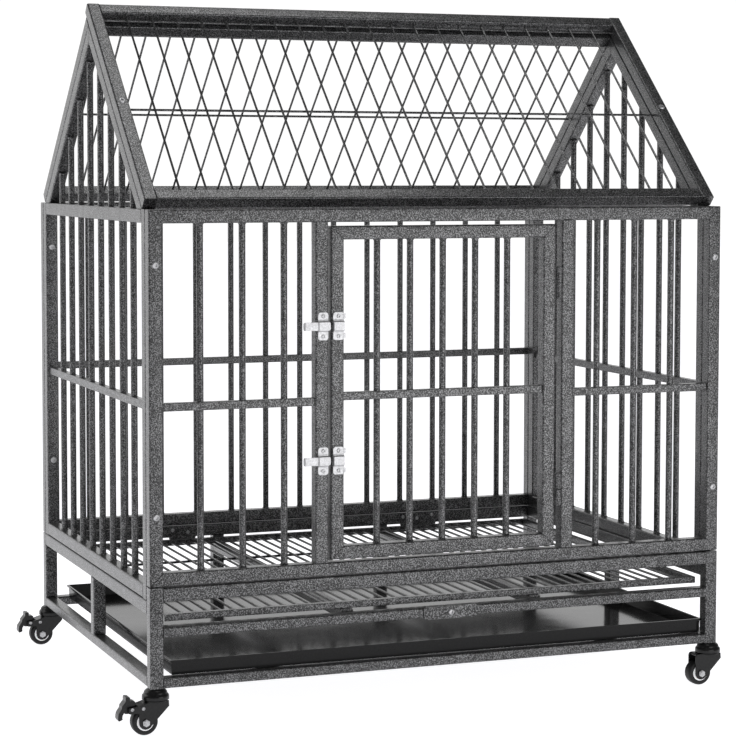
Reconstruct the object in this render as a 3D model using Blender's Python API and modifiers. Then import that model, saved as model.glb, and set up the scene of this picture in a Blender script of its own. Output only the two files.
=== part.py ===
"""Dog cage on casters, with a barred cabin, a wire roof and a drawer base.

The walls are welded grilles of square tube and round bar.  The door hangs on
two barrel hinges and has two sliding latches.  The base holds a pull-out wire
floor and a pull-out tray, kept in by one turn button.  Metres, +Z up, floor at
z = 0, the door side towards -Y.
"""
import math
from math import cos, pi, radians, sin, tan

import bmesh
import bpy
from mathutils import Matrix, Vector

for item in list(bpy.data.objects):
    bpy.data.objects.remove(item, do_unlink=True)

# Overall sizes
CAGE_WIDTH = 0.920
CAGE_DEPTH = 0.680
CASTER_HEIGHT = 0.066
BASE_SIDE_HEIGHT = 0.1256
BASE_FRONT_HEIGHT = 0.1465
WALL_TOP = 0.752
ROOF_SLOPE = radians(42.3)
ROOF_SETBACK = 0.0347
ROOF_LAP = 0.008

# Stock
TUBE = 0.020
TUBE_EDGE = 0.0015
LOW_RAIL = 0.015
MID_RAIL = 0.012
BAR_DIAMETER = 0.010
BAR_SIDES = 6
ROOF_WIRE = 0.0036
GRATE_WIRE = 0.0040
WIRE_SIDES = 4
SEAT_GAP = 0.0003

# Walls
BAR_PITCH = 0.0635
BACK_BARS = 13
SIDE_BARS = 8
LEFT_BAY = 0.2305
RIGHT_BAY = 0.2325
BAY_BARS = 3
LEFT_FIRST_BAR = 0.055
RIGHT_FIRST_BAR = 0.041
WALL_MID_RAIL_Z = 0.470
BACK_MID_RAIL_Z = 0.476

# Door
DOOR_LATCH_GAP = 0.0044
DOOR_TOP_GAP = 0.0055
DOOR_BOTTOM_GAP = 0.0035
DOOR_MID_RAIL_Z = 0.4765
DOOR_BAR_PITCH = 0.0525
HINGE_HEIGHTS = (0.638, 0.323)
KNUCKLE_RADIUS = 0.0052
KNUCKLE_LENGTH = 0.0245
KNUCKLE_GAP = 0.0005
HINGE_PIN_RADIUS = 0.003

# Latches
LATCH_HEIGHTS = (0.5805, 0.3830)
LATCH_SHEET = 0.0012
LATCH_PLATE_WIDTH = 0.016
LATCH_PLATE_LENGTH = 0.041
STRAP_LENGTH = 0.0175
STRAP_SHOULDER = 0.0014
BOLT_HEIGHT = 0.013
BOLT_THICKNESS = 0.002
BOLT_LENGTH = 0.042
BOLT_NOSE_RADIUS = 0.0039
BOLT_SLOT_LENGTH = 0.007
BOLT_SLOT_WIDTH = 0.004
LATCH_CORNER = 0.0045
BOLT_SLOT_FROM_TIP = 0.009
BOLT_TAB_REACH = 0.0098
BOLT_TAB_WIDTH = 0.0035
BOLT_DOOR_CLEARANCE = 0.002

# Roof grille
ROOF_WIRE_COLUMNS = 22
ROOF_TOP_WIRE_OFFSET = 0.006

# Base
BASE_MID_RAIL_Z = 0.0735
SUPPORT_RISE = 0.004
TRAY_BAR_WIDTH = 0.035
TRAY_BAR_THICKNESS = 0.003
TRAY_BAR_SPREAD = 0.554
GRATE_FRAME = 0.010
GRATE_SIDE_GAP = 0.007
GRATE_WIRES = 42
GRATE_CROSS_WIRES = (0.30, 0.70)
DRAWER_FRONT_GAP = 0.0015
DRAWER_REAR_GAP = 0.004
TRAY_HEIGHT = 0.020
TRAY_FLARE = 0.001
TRAY_LEFT_GAP = 0.010
TRAY_RIGHT_GAP = 0.0025
TRAY_LIP = 0.003
TRAY_SHEET = 0.0012
BUTTON_LENGTH = 0.088
BUTTON_HEIGHT = 0.020
BUTTON_THICKNESS = 0.0025
BUTTON_CORNER = 0.006
BUTTON_X = 0.005
SCREW_RADIUS = 0.0025
SCREW_HEAD_RADIUS = 0.0048
SCREW_HEAD_HEIGHT = 0.0026

# Casters
TYRE_RADIUS = 0.0197
TYRE_WIDTH = 0.018
TYRE_SHOULDER = 0.0025
TYRE_SIDES = 20
TURNED_SIDES = 16
HUB_RADIUS = 0.0124
HUB_WIDTH = 0.0186
AXLE_RADIUS = 0.0035
AXLE_OFFSET = 0.0175
NUT_RADIUS = 0.0058
NUT_THICKNESS = 0.0035
FORK_SHEET = 0.002
FORK_GAP = 0.021
FORK_TOP_Z = 0.0500
FORK_END_RADIUS = 0.010
FORK_SHOULDER = 0.009
FORK_FALL_FROM = 0.009
FORK_KINK_REACH = 0.028
FORK_KINK_RISE = 0.004
FORK_HORN_REACH = 0.043
FORK_HORN_RISE = 0.003
FORK_HORN_DROP = 0.0065
FORK_HORN_CORNER = 0.002
CAP_RADIUS = 0.020
CAP_PROFILE = ((0.6, 1.0), (0.775, 0.857), (0.85, 0.662), (0.86, 0.565), (0.975, 0.468),
               (1.0, 0.305), (1.0, 0.0))
PEDAL_PIVOT_REACH = 0.0375
PEDAL_PIVOT_Z = 0.0400
PEDAL_PIN_RADIUS = 0.0022
PEDAL_BOSS_RADIUS = 0.0050
PEDAL_WIDTH = 0.018
PEDAL_REACH = 0.063
PEDAL_TREAD_RISE = 0.0190
PEDAL_TREAD_DROP = 0.0180
PEDAL_TREAD_SHEET = 0.0040
PEDAL_ARM_DROP = 0.0070
BRAKE_SHOE_DROP = 0.0074
BRAKED = ("front_left", "rear_left")

# Places worked out from the sizes above
LEFT = -CAGE_WIDTH / 2
RIGHT = CAGE_WIDTH / 2
FRONT = -CAGE_DEPTH / 2
BACK = CAGE_DEPTH / 2
BASE_TOP = CASTER_HEIGHT + BASE_SIDE_HEIGHT
BASE_FRONT_TOP = CASTER_HEIGHT + BASE_FRONT_HEIGHT
SIDE_BOTTOM = BASE_TOP + SEAT_GAP
FRONT_BOTTOM = BASE_FRONT_TOP + SEAT_GAP
INNER_FRONT = FRONT + TUBE + SEAT_GAP
INNER_BACK = BACK - TUBE - SEAT_GAP
DOORWAY_LEFT = LEFT + 2 * TUBE + LEFT_BAY
DOORWAY_RIGHT = RIGHT - 2 * TUBE - RIGHT_BAY
DOOR_LEFT = DOORWAY_LEFT + DOOR_LATCH_GAP
HINGE_X = DOORWAY_RIGHT - SEAT_GAP - KNUCKLE_RADIUS
DOOR_RIGHT = HINGE_X - KNUCKLE_RADIUS - SEAT_GAP
DOOR_BOTTOM = FRONT_BOTTOM + TUBE + DOOR_BOTTOM_GAP
DOOR_TOP = WALL_TOP - TUBE - DOOR_TOP_GAP
ROOF_FOOT = WALL_TOP + SEAT_GAP
ROOF_HALF_SPAN = CAGE_DEPTH / 2 - ROOF_SETBACK
CORNER_X = CAGE_WIDTH / 2 - TUBE / 2
CORNER_Y = CAGE_DEPTH / 2 - TUBE / 2
AXLE_Z = TYRE_RADIUS * cos(pi / TYRE_SIDES)

# The root carries everything, so that the whole cage stands centred on the origin
reach_left = PEDAL_REACH - TUBE / 2
reach_right = CAP_RADIUS - TUBE / 2
CENTRE_SHIFT = (reach_left - reach_right) / 2

parts = bpy.data.collections.new("dog_cage")
bpy.context.scene.collection.children.link(parts)
root = bpy.data.objects.new("cage_root", None)
root.location = (CENTRE_SHIFT, 0, 0)
parts.objects.link(root)


# Materials

def make_material(name, colour, roughness, metallic):
    material = bpy.data.materials.new(name)
    material.use_nodes = True
    shader = material.node_tree.nodes["Principled BSDF"]
    shader.inputs["Base Color"].default_value = (*colour, 1)
    shader.inputs["Roughness"].default_value = roughness
    shader.inputs["Metallic"].default_value = metallic
    return material


HAMMERED = make_material("hammered_grey_coat", (0.13, 0.13, 0.135), 0.42, 0.35)
BLACK_COAT = make_material("black_gloss_coat", (0.018, 0.018, 0.02), 0.22, 0.2)
ZINC = make_material("bright_zinc", (0.78, 0.78, 0.77), 0.28, 0.9)
CASTER_BLACK = make_material("black_pressed_steel", (0.02, 0.02, 0.021), 0.4, 0.3)
RUBBER = make_material("black_tyre", (0.025, 0.025, 0.026), 0.6, 0.0)
WHITE_CORE = make_material("white_nylon", (0.8, 0.8, 0.78), 0.45, 0.0)


# Shapes, each returned as a bmesh in the cage's own coordinates

def box(low, high, edge=0.0):
    """A block between two corners, with its four longest edges rounded off."""
    shape = bmesh.new()
    bmesh.ops.create_cube(shape, size=1)
    low, high = Vector(low), Vector(high)
    size = high - low
    bmesh.ops.scale(shape, vec=size, verts=shape.verts)
    bmesh.ops.translate(shape, vec=(low + high) / 2, verts=shape.verts)
    if edge:
        axis = max(range(3), key=lambda k: size[k])
        long_edges = [e for e in shape.edges
                      if abs((e.verts[0].co - e.verts[1].co)[axis]) > size[axis] / 2]
        bmesh.ops.bevel(shape, geom=long_edges, offset=edge, segments=1, affect="EDGES")
    return shape


def tube(low, high):
    return box(low, high, TUBE_EDGE)


def rod(start, end, radius, sides):
    start, end = Vector(start), Vector(end)
    along = end - start
    turn = along.to_track_quat("Z", "Y").to_matrix().to_4x4()
    shape = bmesh.new()
    bmesh.ops.create_cone(shape, cap_ends=True, segments=sides, radius1=radius,
                          radius2=radius, depth=along.length,
                          matrix=Matrix.Translation((start + end) / 2) @ turn)
    return shape


def bar(x, y, bottom, top):
    return rod((x, y, bottom), (x, y, top), BAR_DIAMETER / 2, BAR_SIDES)


def arc(centre, radius, start, end, steps):
    """Points on an arc, with the angles in degrees."""
    turns = [radians(start + (end - start) * k / steps) for k in range(steps + 1)]
    return [(centre[0] + radius * cos(a), centre[1] + radius * sin(a)) for a in turns]


def circle(centre, radius, sides):
    return arc(centre, radius, 0, 360 - 360 / sides, sides - 1)


def rounded_rectangle(width, height, corner, steps=3):
    points = []
    for quarter, (sx, sy) in enumerate(((1, 1), (-1, 1), (-1, -1), (1, -1))):
        centre = (sx * (width / 2 - corner), sy * (height / 2 - corner))
        points += arc(centre, corner, 90 * quarter, 90 * quarter + 90, steps)
    return points


def plate(outlines, thickness, matrix):
    """A flat sheet cut to a closed outline, any further outlines being holes."""
    curve = bpy.data.curves.new("outline", "CURVE")
    curve.dimensions = "2D"
    curve.fill_mode = "BOTH"
    curve.extrude = thickness / 2
    for points in outlines:
        spline = curve.splines.new("POLY")
        spline.points.add(len(points) - 1)
        for point, (u, v) in zip(spline.points, points):
            point.co = (u, v, 0, 1)
        spline.use_cyclic_u = True
    carrier = bpy.data.objects.new("outline", curve)
    bpy.context.scene.collection.objects.link(carrier)
    flat = mesh_of(carrier)
    shape = bmesh.new()
    shape.from_mesh(flat)
    bmesh.ops.remove_doubles(shape, verts=shape.verts, dist=1e-6)
    bmesh.ops.transform(shape, matrix=matrix, verts=shape.verts)
    bmesh.ops.recalc_face_normals(shape, faces=shape.faces)
    return shape


def upright(x, y, z):
    """Stands a plate up, facing the door side, with its outline in X and Z."""
    return Matrix.Translation((x, y, z)) @ Matrix.Rotation(pi / 2, 4, "X")


def lengthwise(x, y, z):
    """Stands a plate on edge, with its outline in Y and Z and its thickness along X."""
    return (Matrix.Translation((x, y, z)) @ Matrix.Rotation(pi / 2, 4, "Z")
            @ Matrix.Rotation(pi / 2, 4, "X"))


def mesh_of(item):
    """The evaluated mesh of a working object, which is then removed."""
    bpy.context.view_layer.update()
    depsgraph = bpy.context.evaluated_depsgraph_get()
    mesh = bpy.data.meshes.new_from_object(item.evaluated_get(depsgraph))
    bpy.data.objects.remove(item, do_unlink=True)
    return mesh


def joined(name, shapes):
    """One working object from shapes that don't touch one another."""
    whole = bmesh.new()
    for shape in shapes:
        piece = bpy.data.meshes.new(name)
        shape.to_mesh(piece)
        shape.free()
        whole.from_mesh(piece)
        bpy.data.meshes.remove(piece)
    mesh = bpy.data.meshes.new(name)
    whole.to_mesh(mesh)
    whole.free()
    item = bpy.data.objects.new(name, mesh)
    bpy.context.scene.collection.objects.link(item)
    return item


def welded(*groups):
    """Joins groups of shapes into one solid, as a weld does."""
    first = joined("weld", groups[0])
    others = [joined("weld_part", group) for group in groups[1:]]
    for other in others:
        union = first.modifiers.new("union", "BOOLEAN")
        union.operation = "UNION"
        union.solver = "EXACT"
        union.object = other
    mesh = mesh_of(first)
    for other in others:
        bpy.data.objects.remove(other, do_unlink=True)
    shape = bmesh.new()
    shape.from_mesh(mesh)
    bmesh.ops.remove_doubles(shape, verts=shape.verts, dist=2e-6)
    bmesh.ops.dissolve_degenerate(shape, edges=shape.edges, dist=2e-6)
    bmesh.ops.triangulate(shape, faces=shape.faces)
    return shape


def add_part(name, shape, origin, material, parent=root):
    """Puts a shape into the model as a named part, with its origin at a chosen point."""
    origin = Vector(origin)
    bmesh.ops.translate(shape, vec=-origin, verts=shape.verts)
    mesh = bpy.data.meshes.new(name)
    shape.to_mesh(mesh)
    shape.free()
    mesh.materials.append(material)
    item = bpy.data.objects.new(name, mesh)
    parts.objects.link(item)
    place(item, origin, parent)
    return item


def place(item, origin, parent):
    item.parent = parent
    base = Vector(parent.get("place", (0, 0, 0)))
    item.location = Vector(origin) - base
    item["place"] = tuple(origin)


def add_pivot(name, origin, parent=root):
    pivot = bpy.data.objects.new(name, None)
    parts.objects.link(pivot)
    place(pivot, origin, parent)
    return pivot


def add_turned(name, profile, sides, origin, material, parent, closed=False, lying=False):
    """A turned part: its profile runs down its outer side and is swept round an axis."""
    mesh = bpy.data.meshes.new(name)
    count = len(profile)
    edges = [(k, k + 1) for k in range(count - 1)]
    if closed:
        edges.append((count - 1, 0))
    mesh.from_pydata([(r, 0, z) for r, z in profile], edges, [])
    mesh.materials.append(material)
    item = bpy.data.objects.new(name, mesh)
    parts.objects.link(item)
    screw = item.modifiers.new("turn", "SCREW")
    screw.steps = sides
    screw.render_steps = sides
    screw.use_merge_vertices = True
    screw.merge_threshold = 0.00001
    place(item, origin, parent)
    if lying:
        item.rotation_euler = (pi / 2, pi / sides, 0)
    return item


# Front wall: four posts and two rails, with a barred bay each side of the doorway

def front_wall():
    posts = [tube((x, FRONT, FRONT_BOTTOM), (x + TUBE, FRONT + TUBE, WALL_TOP))
             for x in (LEFT, DOORWAY_LEFT - TUBE, DOORWAY_RIGHT, RIGHT - TUBE)]
    rails = [tube((LEFT + TUBE / 2, FRONT, z), (RIGHT - TUBE / 2, FRONT + TUBE, z + TUBE))
             for z in (FRONT_BOTTOM, WALL_TOP - TUBE)]
    add_part("front_frame", welded(posts, rails), (0, FRONT, FRONT_BOTTOM), HAMMERED)
    bays = (("left_front_grille", LEFT + TUBE, LEFT_BAY, LEFT_FIRST_BAR),
            ("right_front_grille", DOORWAY_RIGHT + TUBE, RIGHT_BAY, RIGHT_FIRST_BAR))
    for name, start, width, first in bays:
        y = FRONT + TUBE / 2
        rail = tube((start + SEAT_GAP, y - MID_RAIL / 2, WALL_MID_RAIL_Z - MID_RAIL / 2),
                    (start + width - SEAT_GAP, y + MID_RAIL / 2, WALL_MID_RAIL_Z + MID_RAIL / 2))
        bars = [bar(start + first + k * BAR_PITCH, y, FRONT_BOTTOM + TUBE + SEAT_GAP,
                    WALL_TOP - TUBE - SEAT_GAP) for k in range(BAY_BARS)]
        add_part(name, welded([rail], bars), (start, y, WALL_MID_RAIL_Z), HAMMERED)


def back_wall():
    low = BACK - TUBE
    posts = [tube((x, low, SIDE_BOTTOM), (x + TUBE, BACK, WALL_TOP)) for x in (LEFT, RIGHT - TUBE)]
    rails = [tube((LEFT + TUBE / 2, low, z), (RIGHT - TUBE / 2, BACK, z + TUBE))
             for z in (SIDE_BOTTOM, WALL_TOP - TUBE)]
    y = BACK - TUBE / 2
    half = MID_RAIL / 2
    mid = tube((LEFT + TUBE / 2, y - half, BACK_MID_RAIL_Z - half),
               (RIGHT - TUBE / 2, y + half, BACK_MID_RAIL_Z + half))
    first = -(BACK_BARS - 1) / 2 * BAR_PITCH
    bars = [bar(first + k * BAR_PITCH, y, SIDE_BOTTOM + TUBE / 2, WALL_TOP - TUBE / 2)
            for k in range(BACK_BARS)]
    add_part("back_panel", welded(posts, rails + [mid], bars), (0, BACK, SIDE_BOTTOM), HAMMERED)


# Side walls: house-shaped grilles, with a sloped rail under each roof panel

def roof_surface(y):
    """Height of the roof panels' undersides over a place between the eaves."""
    return ROOF_FOOT + (ROOF_HALF_SPAN - abs(y)) * tan(ROOF_SLOPE)


def sloped_rail(x, facing):
    length = ROOF_HALF_SPAN / cos(ROOF_SLOPE)
    shape = tube((x, 0, -TUBE - SEAT_GAP), (x + TUBE, length, -SEAT_GAP))
    turn = Matrix.Rotation(ROOF_SLOPE, 4, "X")
    if facing > 0:
        bmesh.ops.transform(shape, matrix=Matrix.Translation((0, -ROOF_HALF_SPAN, ROOF_FOOT)) @ turn,
                            verts=shape.verts)
    else:
        flip = Matrix.Scale(-1, 4, (0, 1, 0))
        bmesh.ops.transform(shape, matrix=flip @ Matrix.Translation((0, -ROOF_HALF_SPAN, ROOF_FOOT))
                            @ turn, verts=shape.verts)
        bmesh.ops.reverse_faces(shape, faces=shape.faces)
    return shape


def side_walls():
    for name, x in (("left_side_panel", LEFT), ("right_side_panel", RIGHT - TUBE)):
        stiles = [tube((x, y, SIDE_BOTTOM), (x + TUBE, y + TUBE, WALL_TOP))
                  for y in (INNER_FRONT, INNER_BACK - TUBE)]
        start, end = INNER_FRONT + TUBE / 2, INNER_BACK - TUBE / 2
        rails = [tube((x, start, z), (x + TUBE, end, z + TUBE)) for z in (SIDE_BOTTOM, WALL_TOP - TUBE)]
        centre = x + TUBE / 2
        half = MID_RAIL / 2
        rails.append(tube((centre - half, start, WALL_MID_RAIL_Z - half),
                          (centre + half, end, WALL_MID_RAIL_Z + half)))
        bars = []
        for k in range(SIDE_BARS):
            y = (k - (SIDE_BARS - 1) / 2) * BAR_PITCH
            top = roof_surface(y) - (SEAT_GAP + TUBE / 2) / cos(ROOF_SLOPE)
            bars.append(bar(centre, y, SIDE_BOTTOM + TUBE / 2, top))
        shape = welded(stiles, rails, [sloped_rail(x, 1)], [sloped_rail(x, -1)], bars)
        add_part(name, shape, (x, 0, SIDE_BOTTOM), HAMMERED)


# Roof: two tube frames filled with wires, the front one lapping the rear one at the ridge

def roof_panel(name, length, facing, middle):
    half = CAGE_WIDTH / 2
    sides = [tube((x, 0, 0), (x + TUBE, length, TUBE)) for x in (-half, half - TUBE)]
    rails = [tube((-half + TUBE / 2, y, 0), (half - TUBE / 2, y + TUBE, TUBE))
             for y in (0, length - TUBE)]
    level = TUBE / 2
    radius = ROOF_WIRE / 2
    reach = half - TUBE / 2
    cross = [rod((-reach, y, level - radius), (reach, y, level - radius), radius, WIRE_SIDES)
             for y in (middle, length - TUBE - ROOF_TOP_WIRE_OFFSET)]
    inner = half - TUBE
    pitch = 2 * inner / ROOF_WIRE_COLUMNS
    wires = [rod((-inner + k * pitch, TUBE / 2, level + radius / 2),
                 (-inner + k * pitch, length - TUBE / 2, level + radius / 2), radius, WIRE_SIDES)
             for k in range(1, ROOF_WIRE_COLUMNS)]
    panel = add_part(name, welded(sides, rails, cross, wires), (0, 0, 0), HAMMERED)
    panel.location = (0, -facing * ROOF_HALF_SPAN, ROOF_FOOT)
    panel.rotation_euler = (ROOF_SLOPE, 0, 0 if facing > 0 else pi)


def roof():
    rear_length = ((2 * ROOF_HALF_SPAN * sin(ROOF_SLOPE) - TUBE * cos(2 * ROOF_SLOPE) - SEAT_GAP)
                   / sin(2 * ROOF_SLOPE))
    lap_y = ROOF_HALF_SPAN - rear_length * cos(ROOF_SLOPE) + TUBE * sin(ROOF_SLOPE)
    front_length = (ROOF_HALF_SPAN + lap_y) / cos(ROOF_SLOPE) + ROOF_LAP
    roof_panel("front_roof_panel", front_length, 1, rear_length / 2)
    roof_panel("rear_roof_panel", rear_length, -1, rear_length / 2)


# Base: four welded frames, with bars for the wire floor and the tray to slide on

def base():
    bottom = CASTER_HEIGHT
    posts = [tube((x, FRONT, bottom), (x + TUBE, FRONT + TUBE, BASE_FRONT_TOP))
             for x in (LEFT, RIGHT - TUBE)]
    rails = [tube((LEFT + TUBE / 2, FRONT, z), (RIGHT - TUBE / 2, FRONT + TUBE, z + height))
             for z, height in ((bottom, LOW_RAIL), (bottom + BASE_MID_RAIL_Z, LOW_RAIL),
                               (BASE_FRONT_TOP - TUBE, TUBE))]
    add_part("base_front_frame", welded(posts, rails), (0, FRONT, bottom), HAMMERED)

    third = CAGE_WIDTH / 6
    low = BACK - TUBE
    posts = [tube((x, low, bottom), (x + TUBE, BACK, BASE_TOP))
             for x in (LEFT, -third - TUBE / 2, third - TUBE / 2, RIGHT - TUBE)]
    rails = [tube((LEFT + TUBE / 2, low, z), (RIGHT - TUBE / 2, BACK, z + height))
             for z, height in ((bottom, LOW_RAIL), (BASE_TOP - TUBE, TUBE))]
    add_part("base_back_frame", welded(posts, rails), (0, BACK, bottom), HAMMERED)

    for name, x in (("base_left_frame", LEFT), ("base_right_frame", RIGHT - TUBE)):
        post = tube((x, -TUBE / 2, bottom), (x + TUBE, TUBE / 2, BASE_TOP - TUBE / 2))
        rails = [tube((x, INNER_FRONT, z), (x + TUBE, INNER_BACK, z + height))
                 for z, height in ((bottom, LOW_RAIL), (BASE_TOP - TUBE, TUBE))]
        add_part(name, welded([post], rails), (x, 0, bottom), HAMMERED)

    support_top = bottom + BASE_MID_RAIL_Z + LOW_RAIL + SUPPORT_RISE
    for side, sign in (("left", -1), ("right", 1)):
        x = sign * third
        shape = tube((x - TUBE / 2, INNER_FRONT, support_top - LOW_RAIL),
                     (x + TUBE / 2, INNER_BACK, support_top))
        add_part(f"grate_support_{side}", shape, (x, INNER_FRONT, support_top), HAMMERED)
        x = sign * TRAY_BAR_SPREAD / 2
        top = bottom + LOW_RAIL + SEAT_GAP / 2
        shape = box((x - TRAY_BAR_WIDTH / 2, INNER_FRONT, top - TRAY_BAR_THICKNESS),
                    (x + TRAY_BAR_WIDTH / 2, INNER_BACK, top))
        add_part(f"tray_support_{side}", shape, (x, INNER_FRONT, top), HAMMERED)
    return support_top


def floor_grate(support_top):
    bottom = support_top + SEAT_GAP
    top = bottom + GRATE_FRAME
    left, right = LEFT + TUBE + GRATE_SIDE_GAP, RIGHT - TUBE - GRATE_SIDE_GAP
    front, back = FRONT + TUBE + DRAWER_FRONT_GAP, BACK - TUBE - DRAWER_REAR_GAP
    sides = [box((x, front, bottom), (x + GRATE_FRAME, back, top)) for x in (left, right - GRATE_FRAME)]
    middle = GRATE_FRAME / 2
    ends = [box((left + middle, y, bottom), (right - middle, y + GRATE_FRAME, top))
            for y in (front, back - GRATE_FRAME)]
    radius = GRATE_WIRE / 2
    long_z = top - radius - SEAT_GAP
    cross_z = long_z - GRATE_WIRE + radius / 2
    cross = [rod((left + middle, front + share * (back - front), cross_z),
                 (right - middle, front + share * (back - front), cross_z), radius, WIRE_SIDES)
             for share in GRATE_CROSS_WIRES]
    pitch = (right - left - 2 * GRATE_FRAME) / (GRATE_WIRES + 1)
    wires = [rod((left + GRATE_FRAME + (k + 1) * pitch, front + middle, long_z),
                 (left + GRATE_FRAME + (k + 1) * pitch, back - middle, long_z), radius, WIRE_SIDES)
             for k in range(GRATE_WIRES)]
    add_part("floor_grate", welded(sides, ends, cross, wires), (0, front, bottom), HAMMERED)


def tray():
    bottom = CASTER_HEIGHT + LOW_RAIL + 2 * SEAT_GAP
    left, right = LEFT + TUBE + TRAY_LEFT_GAP, RIGHT - TUBE - TRAY_RIGHT_GAP
    front, back = FRONT + TUBE + DRAWER_FRONT_GAP, BACK - TUBE - DRAWER_REAR_GAP
    shape = bmesh.new()
    bmesh.ops.create_cube(shape, size=1)
    upper = [v for v in shape.verts if v.co.z > 0]
    lower = [v for v in shape.verts if v.co.z < 0]
    depth = back - front - 2 * TRAY_LIP
    width = right - left - 2 * TRAY_LIP
    bmesh.ops.scale(shape, vec=(width, depth, TRAY_HEIGHT), verts=upper)
    bmesh.ops.scale(shape, vec=(width - 2 * TRAY_FLARE, depth - 2 * TRAY_FLARE, TRAY_HEIGHT),
                    verts=lower)
    lid = [f for f in shape.faces if f.normal.z > 0.9]
    bmesh.ops.delete(shape, geom=lid, context="FACES_ONLY")
    rim = [e for e in shape.edges if e.is_boundary]
    lip = bmesh.ops.extrude_edge_only(shape, edges=rim)["geom"]
    for vert in (g for g in lip if isinstance(g, bmesh.types.BMVert)):
        vert.co.x += math.copysign(TRAY_LIP, vert.co.x)
        vert.co.y += math.copysign(TRAY_LIP, vert.co.y)
    bmesh.ops.recalc_face_normals(shape, faces=shape.faces)
    if sum(f.normal.z * f.calc_area() for f in shape.faces if abs(f.normal.z) > 0.9) < 0:
        bmesh.ops.reverse_faces(shape, faces=shape.faces)
    item = add_part("tray", shape, (0, 0, 0), BLACK_COAT)
    item.location = ((left + right) / 2, (front + back) / 2, bottom + TRAY_HEIGHT / 2)
    sheet = item.modifiers.new("sheet", "SOLIDIFY")
    sheet.thickness = TRAY_SHEET
    sheet.offset = 1
    sheet.use_even_offset = True


def turn_button():
    y = FRONT - SEAT_GAP - BUTTON_THICKNESS / 2
    z = CASTER_HEIGHT + BASE_MID_RAIL_Z + LOW_RAIL / 2
    outlines = [rounded_rectangle(BUTTON_LENGTH, BUTTON_HEIGHT, BUTTON_CORNER),
                circle((0, 0), SCREW_RADIUS + SEAT_GAP, 16)]
    shape = plate(outlines, BUTTON_THICKNESS, upright(BUTTON_X, y, z))
    add_part("turn_button", shape, (BUTTON_X, y, z), HAMMERED)
    seat = BUTTON_THICKNESS + SEAT_GAP
    profile = [(0, SCREW_HEAD_HEIGHT), (SCREW_HEAD_RADIUS * 0.6, SCREW_HEAD_HEIGHT * 0.85),
               (SCREW_HEAD_RADIUS, SCREW_HEAD_HEIGHT * 0.4), (SCREW_HEAD_RADIUS, 0),
               (SCREW_RADIUS, 0), (SCREW_RADIUS, -seat), (0, -seat)]
    screw = add_turned("turn_button_screw", profile, 16, (BUTTON_X, FRONT - SEAT_GAP - seat, z), ZINC, root)
    screw.rotation_euler = (pi / 2, 0, 0)


# Door, hung at its right on two barrel hinges

def door():
    pivot = add_pivot("door_pivot", (HINGE_X, FRONT, DOOR_BOTTOM))
    stiles = [tube((x, FRONT, DOOR_BOTTOM), (x + TUBE, FRONT + TUBE, DOOR_TOP))
              for x in (DOOR_LEFT, DOOR_RIGHT - TUBE)]
    start, end = DOOR_LEFT + TUBE / 2, DOOR_RIGHT - TUBE / 2
    rails = [tube((start, FRONT, z), (end, FRONT + TUBE, z + TUBE))
             for z in (DOOR_BOTTOM, DOOR_TOP - TUBE)]
    y = FRONT + TUBE / 2
    half = MID_RAIL / 2
    rails.append(tube((start, y - half, DOOR_MID_RAIL_Z - half), (end, y + half, DOOR_MID_RAIL_Z + half)))
    bar_count = int((DOOR_RIGHT - DOOR_LEFT - 2 * TUBE) / DOOR_BAR_PITCH - 0.5)
    bars = [bar(DOOR_LEFT + TUBE + (k + 1) * DOOR_BAR_PITCH, y, DOOR_BOTTOM + TUBE / 2,
                DOOR_TOP - TUBE / 2) for k in range(bar_count)]
    add_part("door_panel", welded(stiles, rails, bars), (HINGE_X, FRONT, DOOR_BOTTOM), HAMMERED, pivot)

    bore = HINGE_PIN_RADIUS + SEAT_GAP
    half = KNUCKLE_GAP / 2
    for name, z in zip(("upper_hinge", "lower_hinge"), HINGE_HEIGHTS):
        ring = [(bore, half + KNUCKLE_LENGTH), (KNUCKLE_RADIUS, half + KNUCKLE_LENGTH),
                (KNUCKLE_RADIUS, half), (bore, half)]
        add_turned(f"{name}_door_knuckle", ring, 16, (HINGE_X, FRONT, z), HAMMERED, pivot, closed=True)
        pin_top = half + KNUCKLE_LENGTH - KNUCKLE_GAP
        pin = [(0, pin_top), (HINGE_PIN_RADIUS, pin_top), (HINGE_PIN_RADIUS, -half),
               (KNUCKLE_RADIUS, -half), (KNUCKLE_RADIUS, -half - KNUCKLE_LENGTH),
               (0, -half - KNUCKLE_LENGTH)]
        add_turned(f"{name}_post_knuckle", pin, 16, (HINGE_X, FRONT, z), HAMMERED, root)
    return pivot


# Latches: a strapped plate on the post, a sliding bolt and a strapped keeper on the door

def strapped_plate(x, z):
    """A round-cornered plate with a raised strap across it for the bolt to pass under."""
    width, length = LATCH_PLATE_WIDTH, LATCH_PLATE_LENGTH
    flat = plate([rounded_rectangle(width, length, LATCH_CORNER, 4)], LATCH_SHEET,
                 upright(x, FRONT - SEAT_GAP - LATCH_SHEET / 2, z))
    inner = BOLT_THICKNESS + 2 * SEAT_GAP
    outer = inner + LATCH_SHEET
    half_in = BOLT_HEIGHT / 2 + SEAT_GAP
    half_out = max(STRAP_LENGTH / 2, half_in + LATCH_SHEET)
    foot = -LATCH_SHEET / 2
    top, side = outer - STRAP_SHOULDER, half_out - STRAP_SHOULDER / 2
    arch = [(foot, -half_out), (top, -half_out), (outer, -side), (outer, side), (top, half_out),
            (foot, half_out), (foot, half_in), (inner, half_in), (inner, -half_in), (foot, -half_in)]
    arch = [(-depth, along) for depth, along in arch]
    strap = plate([arch], width, lengthwise(x, FRONT - SEAT_GAP - LATCH_SHEET, z))
    return welded([flat], [strap])


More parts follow.
